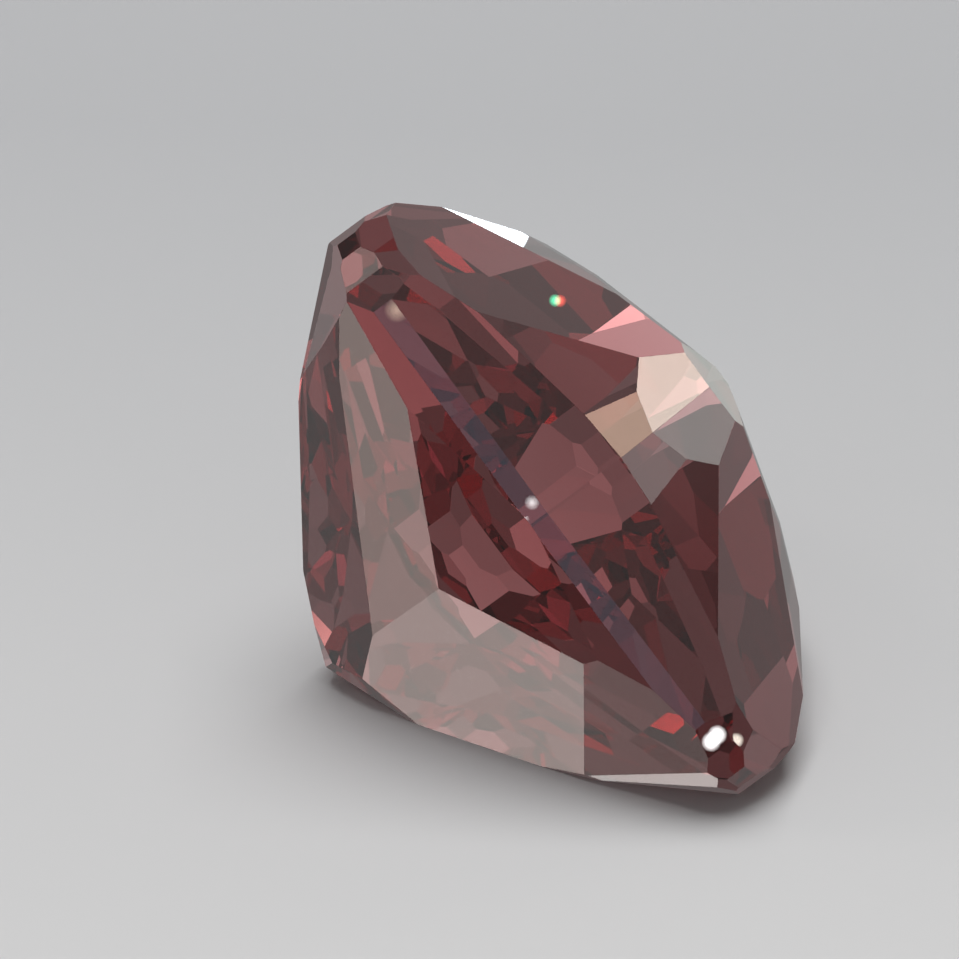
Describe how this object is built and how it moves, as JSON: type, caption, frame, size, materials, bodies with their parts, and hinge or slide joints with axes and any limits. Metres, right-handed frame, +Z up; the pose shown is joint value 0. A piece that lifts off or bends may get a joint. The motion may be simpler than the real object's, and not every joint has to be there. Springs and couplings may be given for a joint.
{
  "type": "cut garnet gemstone",
  "caption": "Loose faceted garnet in a triangular cushion cut, with a stepped domed crown, a thin girdle and a deep pointed pavilion, lying on one of its pavilion facets.",
  "frame": {"origin": "on the surface that the stone lies on, under the middle of its box", "axes": "+Z up from the resting facet, +Y the longest extent, away from the side of the stone that shows in the picture"},
  "size_m": [0.006, 0.008, 0.0061],
  "materials": {
    "garnet": "clear brownish-red garnet, polished flat facets"
  },
  "bodies": {
    "root": {"cut_garnet": "garnet"}
  },
  "joints": []
}
